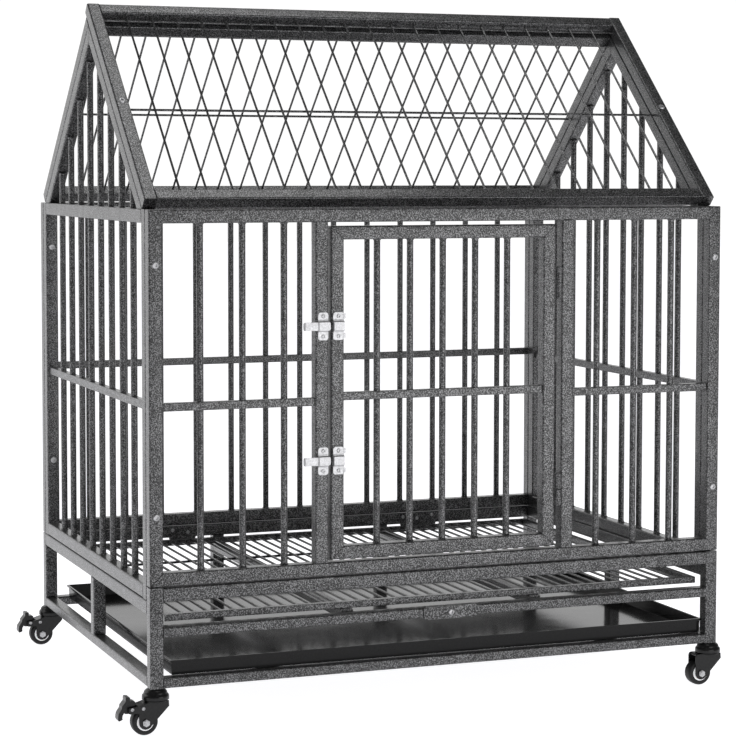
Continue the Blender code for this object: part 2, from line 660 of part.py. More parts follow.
def latches(pivot):
    post_x = DOORWAY_LEFT - TUBE / 2
    door_x = DOOR_LEFT + TUBE / 2
    tip = DOOR_LEFT - BOLT_DOOR_CLEARANCE
    y = FRONT - 2 * SEAT_GAP - LATCH_SHEET - BOLT_THICKNESS / 2
    tab_front = FRONT - BOLT_TAB_REACH
    half = BOLT_HEIGHT / 2
    flat = half - BOLT_NOSE_RADIUS
    outline = [(-BOLT_LENGTH, -half)]
    outline += arc((-BOLT_NOSE_RADIUS, -flat), BOLT_NOSE_RADIUS, -90, 0, 4)
    outline += arc((-BOLT_NOSE_RADIUS, flat), BOLT_NOSE_RADIUS, 0, 90, 4)
    outline.append((-BOLT_LENGTH, half))
    slot = [(u - BOLT_SLOT_FROM_TIP, v) for u, v in
            rounded_rectangle(BOLT_SLOT_LENGTH, BOLT_SLOT_WIDTH, BOLT_SLOT_WIDTH / 2 - SEAT_GAP, 3)]
    for name, z in zip(("upper_latch", "lower_latch"), LATCH_HEIGHTS):
        add_part(f"{name}_base", strapped_plate(post_x, z), (post_x, FRONT, z), ZINC)
        add_part(f"{name}_keeper", strapped_plate(door_x, z), (door_x, FRONT, z), ZINC, pivot)
        tongue = plate([outline, slot], BOLT_THICKNESS, upright(tip, y, z))
        left = tip - BOLT_LENGTH
        tab = box((left, tab_front, z - half + SEAT_GAP), (left + BOLT_TAB_WIDTH, y, z + half - SEAT_GAP),
                  LATCH_SHEET / 2)
        add_part(f"{name}_bolt", welded([tongue], [tab]), (tip, y, z), ZINC)


# Casters: cap and stem on the base, a swivelling fork, a wheel and, on the left, a brake pedal

def caster(corner, x, y):
    def name(part):
        return f"{corner}_caster_{part}"

    swivel = add_pivot(name("swivel"), (x, y, 0))
    bottom = FORK_TOP_Z + SEAT_GAP
    top = CASTER_HEIGHT - SEAT_GAP
    dome = [(out * CAP_RADIUS, bottom + up * (top - bottom)) for out, up in CAP_PROFILE]
    profile = [(0, top), *dome, (0, bottom)]
    add_turned(name("cap"), profile, TURNED_SIDES, (x, y, 0), CASTER_BLACK, root)

    axle_x = -AXLE_OFFSET
    crown = rod((x, y, FORK_TOP_Z - FORK_SHEET), (x, y, FORK_TOP_Z), CAP_RADIUS - FORK_SHEET, TURNED_SIDES)
    head = CAP_RADIUS - 1.5 * FORK_SHEET
    edge = axle_x - FORK_END_RADIUS
    level = FORK_TOP_Z - SEAT_GAP
    web_top = FORK_TOP_Z - SEAT_GAP / 2
    cheek = [(head, level), (head, FORK_TOP_Z - FORK_SHOULDER)]
    cheek += arc((axle_x, AXLE_Z), FORK_END_RADIUS, -25, -180, 5)
    if corner in BRAKED:
        horn_low, horn_high = PEDAL_PIVOT_Z - FORK_HORN_DROP, PEDAL_PIVOT_Z + FORK_HORN_RISE
        kink_z = PEDAL_PIVOT_Z + FORK_KINK_RISE
        blunt = FORK_HORN_CORNER - FORK_HORN_REACH
        cheek += [(edge, horn_low), (blunt, horn_low), (-FORK_HORN_REACH, horn_low + FORK_HORN_CORNER),
                  (-FORK_HORN_REACH, horn_high - FORK_HORN_CORNER), (blunt, horn_high),
                  (-FORK_KINK_REACH, kink_z), (-FORK_FALL_FROM, level)]
        web = [(0, web_top), (-FORK_FALL_FROM, web_top), (edge, kink_z), (edge, kink_z - FORK_SHEET),
               (-FORK_FALL_FROM, web_top - FORK_SHEET), (0, web_top - FORK_SHEET)]
    else:
        cheek.append((edge, level))
        web_end = edge + FORK_SHEET / 2
        web = [(0, web_top), (web_end, web_top), (web_end, web_top - FORK_SHEET), (0, web_top - FORK_SHEET)]
    bore = circle((axle_x, AXLE_Z), AXLE_RADIUS + SEAT_GAP, 8)
    step = (FORK_GAP + FORK_SHEET) / 2
    cheeks = [plate([cheek, bore], FORK_SHEET, upright(x, y + side * step, 0)) for side in (-1, 1)]
    bridge = plate([web], FORK_GAP + FORK_SHEET, upright(x, y, 0))
    groups = [[crown], [bridge], cheeks]
    if corner in BRAKED:
        pin_x = x - PEDAL_PIVOT_REACH
        groups.append([rod((pin_x, y - step, PEDAL_PIVOT_Z), (pin_x, y + step, PEDAL_PIVOT_Z),
                           PEDAL_PIN_RADIUS, 10)])
    add_part(name("fork"), welded(*groups), (x, y, 0), CASTER_BLACK, swivel)

    wheel = add_pivot(name("wheel"), (x + axle_x, y, AXLE_Z), swivel)
    half = TYRE_WIDTH / 2
    inner = HUB_RADIUS + SEAT_GAP
    shoulder = TYRE_RADIUS - TYRE_SHOULDER
    tread = half - TYRE_SHOULDER
    tyre = [(inner, half), (shoulder, half), (TYRE_RADIUS, tread), (TYRE_RADIUS, -tread),
            (shoulder, -half), (inner, -half)]
    at = (x + axle_x, y, AXLE_Z)
    add_turned(name("tyre"), tyre, TYRE_SIDES, at, RUBBER, wheel, closed=True, lying=True)
    half = HUB_WIDTH / 2
    bore_radius = AXLE_RADIUS + SEAT_GAP
    hub = [(bore_radius, half), (HUB_RADIUS, half), (HUB_RADIUS, -half), (bore_radius, -half)]
    add_turned(name("hub"), hub, TURNED_SIDES, at, WHITE_CORE, wheel, closed=True, lying=True)

    face = FORK_GAP / 2 + FORK_SHEET + SEAT_GAP
    end = face + NUT_THICKNESS
    axle = [rod((x + axle_x, y - end, AXLE_Z), (x + axle_x, y + end, AXLE_Z), AXLE_RADIUS, 8)]
    nuts = [rod((x + axle_x, y + side * face, AXLE_Z),
                (x + axle_x, y + side * (end - SEAT_GAP), AXLE_Z), NUT_RADIUS, 6) for side in (-1, 1)]
    add_part(name("axle"), welded(axle, nuts), at, ZINC, swivel)

    if corner in BRAKED:
        pedal(name("brake_pedal"), x, y, swivel)


def pedal(name, x, y, swivel):
    """The brake's foot pedal, a bowed tread on an arm that turns on the fork's pin."""
    boss = PEDAL_BOSS_RADIUS
    tip = PEDAL_PIVOT_REACH - PEDAL_REACH
    inner = tip + PEDAL_TREAD_SHEET
    bow = PEDAL_TREAD_SHEET
    outline = [(tip, PEDAL_TREAD_RISE), (inner, PEDAL_TREAD_RISE),
               (inner + bow, PEDAL_TREAD_RISE / 2), (-1.6 * boss, boss)]
    outline += arc((0, 0), boss, 90, -40, 6)
    outline += [(0.8 * boss, -BRAKE_SHOE_DROP), (0, -BRAKE_SHOE_DROP), (-0.8 * boss, -PEDAL_ARM_DROP),
                (inner + bow, -PEDAL_ARM_DROP), (inner + bow / 2, -PEDAL_TREAD_DROP),
                (tip + bow / 2, -PEDAL_TREAD_DROP), (tip + bow, -PEDAL_ARM_DROP),
                (tip + bow, PEDAL_TREAD_RISE / 3)]
    hole = circle((0, 0), PEDAL_PIN_RADIUS + SEAT_GAP, 10)
    pivot_x = x - PEDAL_PIVOT_REACH
    shape = plate([outline, hole], PEDAL_WIDTH, upright(pivot_x, y, PEDAL_PIVOT_Z))
    add_part(name, shape, (pivot_x, y, PEDAL_PIVOT_Z), CASTER_BLACK, swivel)


def casters():
    for row, y in (("front", -CORNER_Y), ("rear", CORNER_Y)):
        for side, x in (("left", -CORNER_X), ("right", CORNER_X)):
            caster(f"{row}_{side}", x, y)


front_wall()
back_wall()
side_walls()
roof()
floor_grate(base())
tray()
turn_button()
latches(door())
casters()

for item in parts.objects:
    if item.type == "MESH":
        item.data.shade_smooth()
        item.data.set_sharp_from_angle(angle=radians(35))
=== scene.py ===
from math import cos, pi, radians, sin, tan

import bmesh
import bpy
from mathutils import Matrix, Vector


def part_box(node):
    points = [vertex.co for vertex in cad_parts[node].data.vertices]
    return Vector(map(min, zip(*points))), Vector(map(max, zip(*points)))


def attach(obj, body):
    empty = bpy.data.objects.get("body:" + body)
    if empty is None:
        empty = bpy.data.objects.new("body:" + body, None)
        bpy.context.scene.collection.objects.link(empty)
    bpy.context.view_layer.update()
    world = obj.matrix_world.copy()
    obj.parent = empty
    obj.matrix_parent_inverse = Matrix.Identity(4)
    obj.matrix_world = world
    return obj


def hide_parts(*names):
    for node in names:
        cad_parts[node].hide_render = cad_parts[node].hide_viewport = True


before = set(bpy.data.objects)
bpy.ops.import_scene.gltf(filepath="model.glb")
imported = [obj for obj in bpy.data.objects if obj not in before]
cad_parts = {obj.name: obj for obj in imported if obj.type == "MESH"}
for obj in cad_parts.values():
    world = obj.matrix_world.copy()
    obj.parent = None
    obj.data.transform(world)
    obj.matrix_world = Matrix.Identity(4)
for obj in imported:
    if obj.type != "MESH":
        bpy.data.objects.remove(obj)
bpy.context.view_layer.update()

# Studio.  A white floor and a surround that is white behind the cage and dim in front of it, with
# soft boxes to the front right, to the left and overhead.  The camera looks down a little, and its
# lens is shifted, because the posts stand almost upright in the photo.
camera_place = (-1.2941, -3.4360, 0.8121)
camera_heading, camera_tilt, camera_roll = radians(20.988), radians(3.560), radians(0.064)
sensor_width, focal_length = 36, 110.82
lens_shift_pixels, photo_pixels = -60, 736
floor_size = 40
blue_cast = 1.02

camera = bpy.data.objects.new("camera", bpy.data.cameras.new("camera"))
bpy.context.scene.collection.objects.link(camera)
camera.data.sensor_width = sensor_width
camera.data.lens = focal_length
camera.data.shift_y = lens_shift_pixels / photo_pixels
camera.matrix_world = (Matrix.Translation(camera_place) @ Matrix.Rotation(-camera_heading, 4, "Z")
                       @ Matrix.Rotation(pi / 2 - camera_tilt, 4, "X")
                       @ Matrix.Rotation(camera_roll, 4, "Z"))
bpy.context.scene.camera = camera
bpy.context.scene.view_settings.view_transform = "Standard"


def soft_light(name, place, aim, size, power):
    """A soft box that points at a place on the cage."""
    lamp = bpy.data.objects.new(name, bpy.data.lights.new(name, "AREA"))
    bpy.context.scene.collection.objects.link(lamp)
    lamp.data.shape = "RECTANGLE"
    lamp.data.size, lamp.data.size_y = size
    lamp.data.energy = power
    lamp.visible_camera = False
    lamp.location = place
    lamp.rotation_euler = (Vector(aim) - Vector(place)).to_track_quat("-Z", "Y").to_euler()


soft_light("front_right_light", (0.65, -1.9, 0.35), aim=(0.0, -0.3, 0.30), size=(1.2, 1.3), power=9)
soft_light("left_light", (-1.7, 0.6, 1.0), aim=(-0.49, 0.0, 0.6), size=(0.9, 1.2), power=6)
soft_light("top_light", (0.3, -0.2, 3.6), aim=(0, 0, 0.5), size=(1.6, 1.2), power=18)


class Signal:
    """A socket in a finish, so that shader sums are written as sums."""

    def __init__(self, tree, socket=None):
        self.tree, self.socket = tree, socket

    def feed(self, node, values):
        """Gives a node's sockets their values or links."""
        for name, value in values.items():
            if isinstance(value, Signal):
                self.tree.links.new(value.socket, node.inputs[name])
            else:
                node.inputs[name].default_value = value

    def node(self, kind, settings=None, values=None, output=0):
        """Adds a node: its settings first, then what its sockets take."""
        made = self.tree.nodes.new("ShaderNode" + kind)
        for name, setting in (settings or {}).items():
            if name == "stops":
                for _ in setting[2:]:
                    made.color_ramp.elements.new(0.5)
                for stop, (place, tone) in zip(made.color_ramp.elements, setting):
                    stop.position, stop.color = place, (tone, tone, tone * blue_cast, 1)
            else:
                setattr(made, name, setting)
        self.feed(made, values or {})
        return Signal(self.tree, made.outputs[output])

    def sum(self, operation, first, second):
        return self.node("Math", {"operation": operation}, {0: first, 1: second})

    def __add__(self, other):
        return self.sum("ADD", self, other)

    def __mul__(self, other):
        return self.sum("MULTIPLY", self, other)

    def __sub__(self, other):
        return self.sum("SUBTRACT", self, other)

    def __rsub__(self, other):
        return self.sum("SUBTRACT", other, self)

    __radd__, __rmul__ = __add__, __mul__


def new_finish(name, **constants):
    """A finish with its constant sockets set, its gloss shader, and a signal to start sums from."""
    finish = bpy.data.materials.new(name)
    finish.use_nodes = True
    gloss = finish.node_tree.nodes["Principled BSDF"]
    start = Signal(finish.node_tree)
    start.feed(gloss, {socket.replace("_", " "): value for socket, value in constants.items()})
    return finish, gloss, start


surround = bpy.data.worlds.new("surround")
bpy.context.scene.world = surround
surround.use_nodes = True
start = Signal(surround.node_tree)
toward = start.node("TexCoord", output="Generated")
depth = start.node("SeparateXYZ", {}, {"Vector": toward}, output="Y")
glow = start.node("MapRange", {"interpolation_type": "SMOOTHSTEP"},
                  {"Value": depth, "From Min": 0.40, "From Max": 0.86, "To Min": 0.14, "To Max": 1.05})
start.feed(surround.node_tree.nodes["Background"], {"Color": (1, 1, 1, 1), "Strength": glow})

floor_paint, gloss, start = new_finish("floor_paint", Roughness=0.9, Emission_Strength=0.96)
place = start.node("TexCoord", output="Object")
cloud = start.node("TexNoise", {}, {"Vector": place, "Scale": 1.5, "Detail": 2})
paint_tone = start.node("ValToRGB", {"stops": [(0.3, 0.60), (0.7, 0.64)]}, {"Fac": cloud})
paint_glow = start.node("ValToRGB", {"stops": [(0.3, 0.97), (0.7, 1.0)]}, {"Fac": cloud})
start.feed(gloss, {"Base Color": paint_tone, "Emission Color": paint_glow})
bpy.ops.object.select_all(action="DESELECT")
bpy.ops.mesh.primitive_plane_add(size=floor_size)
floor = bpy.context.object
floor.name = "studio_floor"
floor.data.materials.append(floor_paint)


# Front wall frame.  Four posts and two rails of 20 mm square steel tube, mitred and welded at the
# outer corners and coated in hammered grey powder.  It stands on the base and is bolted to the
# side walls.
tube = 0.020
tube_rounding = 0.0024
seam_width = 0.0006
bay_gap = 0.0003
smooth_below = radians(40)
front_low, front_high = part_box("front_frame")

hammered_coat, gloss, start = new_finish("hammered_coat", Metallic=0.45, Coat_Weight=0.3, Coat_Roughness=0.15)
place = start.node("TexCoord", output="Object")
grain = start.node("TexNoise", {}, {"Vector": place, "Scale": 620.0, "Detail": 1.5, "Roughness": 0.55,
                                    "Distortion": 0.4})
drift = start.node("TexNoise", {}, {"Vector": place, "Scale": 60.0, "Detail": 2.0})
fleck = grain + (drift - 0.5) * 0.12
coat_tone = start.node("ValToRGB", {"stops": [(0.38, 0.006), (0.5, 0.030), (0.61, 0.20)]}, {"Fac": fleck})
start.feed(gloss, {"Base Color": coat_tone, "Roughness": 0.46 - fleck * 0.22,
                   "Normal": start.node("Bump", {}, {"Strength": 0.5, "Distance": 0.0004, "Height": grain})})


def take(piece):
    """Makes one piece the only thing that the next operator works on."""
    bpy.ops.object.select_all(action="DESELECT")
    piece.select_set(True)
    bpy.context.view_layer.objects.active = piece


def settle(piece, matrix=None):
    """Moves a piece into place and writes the place into its mesh."""
    take(piece)
    if matrix is not None:
        piece.matrix_world = matrix
    bpy.ops.object.transform_apply(location=True, rotation=True, scale=True)
    return piece


def block(low, high):
    """A plain block between two corners."""
    bpy.ops.object.select_all(action="DESELECT")
    bpy.ops.mesh.primitive_cube_add(size=1, location=(low + high) / 2)
    made = bpy.context.object
    made.scale = high - low
    return settle(made)


def edit(piece, kind, chosen, *steps):
    """Picks vertices, edges or faces by their place and runs edit-mode steps on them."""
    take(piece)
    bpy.ops.object.mode_set(mode="EDIT")
    bpy.ops.mesh.select_mode(type=kind)
    bpy.ops.mesh.select_all(action="DESELECT")
    shape = bmesh.from_edit_mesh(piece.data)
    for item in {"VERT": shape.verts, "EDGE": shape.edges, "FACE": shape.faces}[kind]:
        if chosen(item):
            item.select_set(True)
    shape.select_flush_mode()
    bmesh.update_edit_mesh(piece.data)
    for operator, settings in steps:
        operator(**settings)
    bpy.ops.object.mode_set(mode="OBJECT")
    return piece


def cut_tube(low, high, rounding=tube_rounding):
    """A length of square tube between two corners, with its long edges rolled round."""
    low, high = Vector(low), Vector(high)
    size = high - low
    along = max(range(3), key=lambda k: size[k])
    return edit(block(low, high), "EDGE",
                lambda e: abs((e.verts[0].co - e.verts[1].co)[along]) > size[along] / 2,
                (bpy.ops.mesh.bevel, {"offset": rounding, "segments": 3}))


def saw(piece, point, facing):
    """Saws a piece off through a point, drops the end that the cut faces and leaves a fine seam."""
    return edit(piece, "FACE", lambda f: True,
                (bpy.ops.mesh.bisect, {"plane_co": point, "plane_no": facing, "use_fill": True,
                                       "clear_outer": True}),
                (bpy.ops.mesh.bevel, {"offset": seam_width, "segments": 1}))


def copied(piece, shift):
    """A copy of a piece, with its own mesh, moved along."""
    twin = piece.copy()
    twin.data = piece.data.copy()
    bpy.context.scene.collection.objects.link(twin)
    twin.data.transform(Matrix.Translation(shift))
    return twin


def weld_up(name, lengths):
    """Joins finished lengths into one welded piece."""
    take(lengths[0])
    for length in lengths:
        length.select_set(True)
    bpy.ops.object.join()
    welded = bpy.context.object
    welded.name = name
    bpy.ops.object.shade_smooth_by_angle(angle=smooth_below)
    flats = welded.modifiers.new("flats", "WEIGHTED_NORMAL")
    flats.keep_sharp = True
    bpy.ops.object.modifier_apply(modifier=flats.name)
    return welded


def fit(piece, body, slot, finish, *nodes):
    """Coats a finished piece, hangs it on its body and lets it stand for the plain nodes."""
    piece.data.materials.clear()
    piece.data.materials.append(finish)
    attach(piece, body)
    if nodes:
        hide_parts(*nodes)


def fit_hammered(piece, body, *nodes):
    """Fits a piece that has the frame's hammered coat."""
    fit(piece, body, "hammered_grey_coat", hammered_coat, *nodes)


def mitred_frame(low, high):
    """Four tubes in an upright frame, sawn at 45 degrees where they meet."""
    lengths = []
    for x, facing in ((low.x, 1), (high.x - tube, -1)):
        post = cut_tube((x, low.y, low.z), (x + tube, high.y, high.z))
        corner = x if facing > 0 else x + tube
        saw(post, (corner, 0, low.z), (facing, 0, -1))
        lengths.append(saw(post, (corner, 0, high.z), (facing, 0, 1)))
    for z, facing in ((low.z, 1), (high.z - tube, -1)):
        rail = cut_tube((low.x, low.y, z), (high.x, high.y, z + tube))
        corner = z if facing > 0 else z + tube
        saw(rail, (low.x, 0, corner), (-1, 0, facing))
        lengths.append(saw(rail, (high.x, 0, corner), (1, 0, facing)))
    return lengths


lengths = mitred_frame(front_low, front_high)
left_post_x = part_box("left_front_grille")[1].x + bay_gap
right_post_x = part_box("right_front_grille")[0].x - bay_gap - tube
lengths += [cut_tube((x, front_low.y, front_low.z + tube), (x + tube, front_high.y, front_high.z - tube))
            for x in (left_post_x, right_post_x)]
fit_hammered(weld_up("front_wall", lengths), "cage", "front_frame")


# Front bays.  Each side of the doorway has three 10 mm round bars, welded through a 12 mm square
# mid rail and into the front frame's rails, in the same hammered coat.
bar_radius = 0.005
bar_pitch = 0.0635
bar_sides = 16
bay_bars = 3
left_first_bar, right_first_bar = 0.0583, 0.0435
mid_rail = 0.012
fine_rounding = 0.001
wall_rail_z = 0.470
weld_height, weld_foot, weld_waist = 0.5, 1.3, 1.08
touching = 0.00001


def drawn_out(rings, sides, closed=False):
    """A round shape drawn out of a circle from ring to ring, each a radius and a height."""
    bpy.ops.object.select_all(action="DESELECT")
    bpy.ops.mesh.primitive_circle_add(vertices=sides, radius=rings[0][0], location=(0, 0, rings[0][1]))
    piece = settle(bpy.context.object)
    bpy.ops.object.mode_set(mode="EDIT")
    bpy.ops.mesh.select_all(action="SELECT")
    for (wide, low), (next_wide, high) in zip(rings, rings[1:]):
        bpy.ops.mesh.extrude_edges_move(TRANSFORM_OT_translate={"value": (0, 0, high - low)})
        grow = next_wide / wide
        bpy.ops.transform.resize(value=(grow, grow, 1), center_override=(0, 0, high))
    bpy.ops.mesh.select_all(action="SELECT")
    if closed:
        bpy.ops.mesh.remove_doubles(threshold=touching)
    else:
        bpy.ops.mesh.fill_holes(sides=0)
    bpy.ops.mesh.normals_make_consistent(inside=False)
    bpy.ops.object.mode_set(mode="OBJECT")
    return piece


def welded_bar(foot, head, radius=bar_radius, sides=bar_sides):
    """A round bar between two points, with a weld fillet round each end, sized by its radius."""
    foot, head = Vector(foot), Vector(head)
    long = (head - foot).length
    fillet = radius * weld_height
    rings = [(radius * weld_foot, 0), (radius * weld_waist, fillet / 2), (radius, fillet),
             (radius, long - fillet), (radius * weld_waist, long - fillet / 2), (radius * weld_foot, long)]
    turn = (head - foot).to_track_quat("Z", "Y").to_matrix().to_4x4()
    return settle(drawn_out(rings, sides), Matrix.Translation(foot) @ turn)


def cross_rail(start, end):
    """The thin rail that a grille's bars run through, between two points on its axis."""
    start, end = Vector(start), Vector(end)
    outwards = (Vector((1, 1, 1)) - (end - start).normalized()) * mid_rail / 2
    return cut_tube(start - outwards, end + outwards, fine_rounding)


def row_of(piece, count, step):
    """A piece with its copies in a row."""
    return [piece] + [copied(piece, Vector(step) * k) for k in range(1, count)]


for side, first in (("left", left_first_bar), ("right", right_first_bar)):
    low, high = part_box(f"{side}_front_grille")
    x = low.x - bay_gap + first
    y = (low.y + high.y) / 2
    lengths = row_of(welded_bar((x, y, low.z), (x, y, high.z)), bay_bars, (bar_pitch, 0, 0))
    lengths.append(cross_rail((low.x, y, wall_rail_z), (high.x, y, wall_rail_z)))
    fit_hammered(weld_up(f"{side}_front_bars", lengths), "cage", f"{side}_front_grille")


# Back wall.  One welded grille: a mitred tube frame with thirteen bars through a mid rail, bolted
# between the two side walls.
back_bars = 13
back_rail_z = 0.476
low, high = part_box("back_panel")
y = (low.y + high.y) / 2
x = (low.x + high.x - (back_bars - 1) * bar_pitch) / 2
lengths = mitred_frame(low, high)
lengths += row_of(welded_bar((x, y, low.z + tube), (x, y, high.z - tube)), back_bars, (bar_pitch, 0, 0))
lengths.append(cross_rail((low.x + tube, y, back_rail_z), (high.x - tube, y, back_rail_z)))
fit_hammered(weld_up("back_wall", lengths), "cage", "back_panel")


# Side walls.  House-shaped welded grilles: a tube frame up to the eaves, two sloped gable rails
# that meet under the ridge, and eight bars that run from the bottom rail up to the gable rails.
side_bars = 8
roof_slope = radians(42.3)
seat_gap = 0.0003
wall_top = front_high.z
roof_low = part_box("front_roof_panel")[0]
eave = Vector((0, roof_low.y + tube * sin(roof_slope), roof_low.z))


def under_roof(y):
    """Height of the roof panels' underside above a place on the floor."""
    return eave.z + (abs(eave.y) - abs(y)) * tan(roof_slope)


def up_the_slope(facing):
    """The turn that lays a level piece up the front slope, or with -1 up the rear one."""
    around = Matrix.Rotation(0 if facing > 0 else pi, 4, "Z")
    return around @ Matrix.Rotation(roof_slope, 4, "X")


def gable_rail(x, facing):
    """A tube laid under the roof's slope, sawn level at its foot and upright at the ridge."""
    long = abs(eave.y) / cos(roof_slope) + 2 * tube
    rail = cut_tube((0, -tube, -tube), (tube, long, 0))
    foot = (x if facing > 0 else x + tube, facing * eave.y, eave.z - seat_gap / cos(roof_slope))
    settle(rail, Matrix.Translation(foot) @ up_the_slope(facing))
    saw(rail, (x, 0, wall_top), (0, 0, -1))
    return saw(rail, (x, 0, wall_top), (0, facing, 0))


low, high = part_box("left_side_panel")
x = (low.x + high.x) / 2
lengths = [cut_tube((low.x, y, low.z), (high.x, y + tube, wall_top)) for y in (low.y, high.y - tube)]
lengths += [cut_tube((low.x, low.y + tube, z), (high.x, high.y - tube, z + tube))
            for z in (low.z, wall_top - tube)]
lengths.append(cross_rail((x, low.y + tube, wall_rail_z), (x, high.y - tube, wall_rail_z)))
lengths += [gable_rail(low.x, facing) for facing in (1, -1)]
for k in range(side_bars // 2):
    y = (k + 0.5) * bar_pitch
    top = under_roof(y + bar_radius) - tube / cos(roof_slope) + bar_radius
    bar = welded_bar((x, y, low.z + tube), (x, y, top))
    lengths += [bar, copied(bar, (0, -2 * y, 0))]
left_wall = weld_up("left_wall", lengths)
right_wall = copied(left_wall, (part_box("right_side_panel")[0].x - low.x, 0, 0))
right_wall.name = "right_wall"
for wall in (left_wall, right_wall):
    fit_hammered(wall, "cage", wall.name.replace("wall", "side_panel"))


# Roof.  Two tube frames filled with thin wires that run up the slope and two level wires welded
# behind them, the front frame lapping the rear one at the ridge, bolted down on the gable rails.
wire_radius = 0.0018
wire_sides = 8
wire_sink = 0.2
roof_wires = 22
top_wire_drop = 0.006


def slope_length(low, high):
    """How far a roof panel reaches up its slope, from its box."""
    return (high.z - low.z - tube * cos(roof_slope)) / sin(roof_slope)


mid_wire = slope_length(*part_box("rear_roof_panel")) / 2


def roof_panel(name, node, facing):
    """A roof panel, welded up flat and then laid on its slope."""
    low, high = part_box(node)
    outer, length = (high.x - low.x) / 2, slope_length(low, high)
    inner, level = outer - tube, tube / 2
    lengths = [cut_tube((x, 0, 0), (x + tube, length, tube)) for x in (-outer, outer - tube)]
    lengths += [cut_tube((-inner, y, 0), (inner, y + tube, tube)) for y in (0, length - tube)]
    for y in (mid_wire, length - tube - top_wire_drop):
        z = level - wire_radius
        lengths.append(welded_bar((-inner, y, z), (inner, y, z), wire_radius, wire_sides))
    pitch = 2 * inner / roof_wires
    x, z = pitch - inner, level + wire_radius * (1 - wire_sink)
    wire = welded_bar((x, tube, z), (x, length - tube, z), wire_radius, wire_sides)
    lengths += row_of(wire, roof_wires - 1, (pitch, 0, 0))
    foot = ((low.x + high.x) / 2, facing * eave.y, eave.z)
    panel = settle(weld_up(name, lengths), Matrix.Translation(foot) @ up_the_slope(facing))
    fit_hammered(panel, "cage", node)


roof_panel("front_roof", "front_roof_panel", 1)
roof_panel("rear_roof", "rear_roof_panel", -1)


# Base.  Four welded tube frames with lighter bottom and mid rails, open between them, and the bars
# and flat strips inside on which the wire floor and the tray slide.  Its top is drawn 1 mm low,
# which leaves the dark seam under the walls.
low_rail = 0.015
base_mid_rail_z = 0.0735
back_post_share = 1 / 6
strip_rounding = 0.0006
wall_seam = Vector((0, 0, 0.0010))


def end_posts(low, high):
    """The posts at both ends of a base frame."""
    return [cut_tube((x, low.y, low.z), (x + tube, high.y, high.z)) for x in (low.x, high.x - tube)]


def level_rails(low, high, inset, rails):
    """Level tubes from end to end of a base frame, each a height and how tall it is."""
    return [cut_tube((low.x + inset, low.y, z), (high.x - inset, high.y, z + tall)) for z, tall in rails]


low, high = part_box("base_front_frame")
high = high - wall_seam
rails = [(low.z, low_rail), (low.z + base_mid_rail_z, low_rail), (high.z - tube, tube)]
lengths = end_posts(low, high) + level_rails(low, high, tube, rails)
fit_hammered(weld_up("base_front", lengths), "cage", "base_front_frame")

low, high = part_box("base_back_frame")
high = high - wall_seam
lengths = end_posts(low, high)
for side in (-1, 1):
    x = (low.x + high.x) / 2 + side * (high.x - low.x) * back_post_share - tube / 2
    lengths.append(cut_tube((x, low.y, low.z + low_rail), (x + tube, high.y, high.z - tube)))
lengths += level_rails(low, high, tube, [(low.z, low_rail), (high.z - tube, tube)])
fit_hammered(weld_up("base_back", lengths), "cage", "base_back_frame")

low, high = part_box("base_left_frame")
high = high - wall_seam
lengths = [cut_tube((low.x, -tube / 2, low.z + low_rail), (high.x, tube / 2, high.z - tube))]
lengths += level_rails(low, high, 0, [(low.z, low_rail), (high.z - tube, tube)])
base_left = weld_up("base_left", lengths)
base_right = copied(base_left, (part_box("base_right_frame")[0].x - low.x, 0, 0))
base_right.name = "base_right"
for frame_side in (base_left, base_right):
    fit_hammered(frame_side, "cage", frame_side.name + "_frame")

for load, rounding in (("grate", tube_rounding), ("tray", strip_rounding)):
    for side in ("left", "right"):
        node = f"{load}_support_{side}"
        bearer = weld_up(f"{load}_bearer_{side}", [cut_tube(*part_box(node), rounding)])
        fit_hammered(bearer, "cage", node)


# Wire floor.  A frame of 10 mm square bar with 4 mm wires from front to back, held by two cross
# wires under them.  It lies loose on the bars of the base and pulls out at the front.
grate_bar = 0.010
grate_wire_radius = 0.002
grate_wires = 42
grate_cross_wires = (0.30, 0.70)
low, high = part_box("floor_grate")
left, right = low.x + grate_bar, high.x - grate_bar
lengths = [cut_tube((x, low.y, low.z), (x + grate_bar, high.y, high.z), fine_rounding)
           for x in (low.x, right)]
lengths += [cut_tube((left, y, low.z), (right, y + grate_bar, high.z), fine_rounding)
            for y in (low.y, high.y - grate_bar)]
pitch = (right - left) / (grate_wires + 1)
x, z = left + pitch, high.z - grate_wire_radius - seat_gap
wire = welded_bar((x, low.y + grate_bar, z), (x, high.y - grate_bar, z), grate_wire_radius, wire_sides)
lengths += row_of(wire, grate_wires, (pitch, 0, 0))
z -= (2 - wire_sink) * grate_wire_radius
for share in grate_cross_wires:
    y = low.y + share * (high.y - low.y)
    lengths.append(welded_bar((left, y, z), (right, y, z), grate_wire_radius, wire_sides))
fit_hammered(weld_up("wire_floor_grate", lengths), "wire_floor", "floor_grate")


# Door.  A mitred tube frame with five bars through a mid rail, hung at its right on two barrel
# hinges whose halves are welded to the door and to the post.
door_bars = 5
door_bar_pitch = 0.0525
door_bar_shift = 0.0025
door_rail_z = 0.4765
low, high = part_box("door_panel")
y = (low.y + high.y) / 2
x = low.x + tube + door_bar_pitch + door_bar_shift
lengths = mitred_frame(low, high)
lengths += row_of(welded_bar((x, y, low.z + tube), (x, y, high.z - tube)), door_bars, (door_bar_pitch, 0, 0))
lengths.append(cross_rail((low.x + tube, y, door_rail_z), (high.x - tube, y, door_rail_z)))
fit_hammered(weld_up("door_grille", lengths), "door", "door_panel")

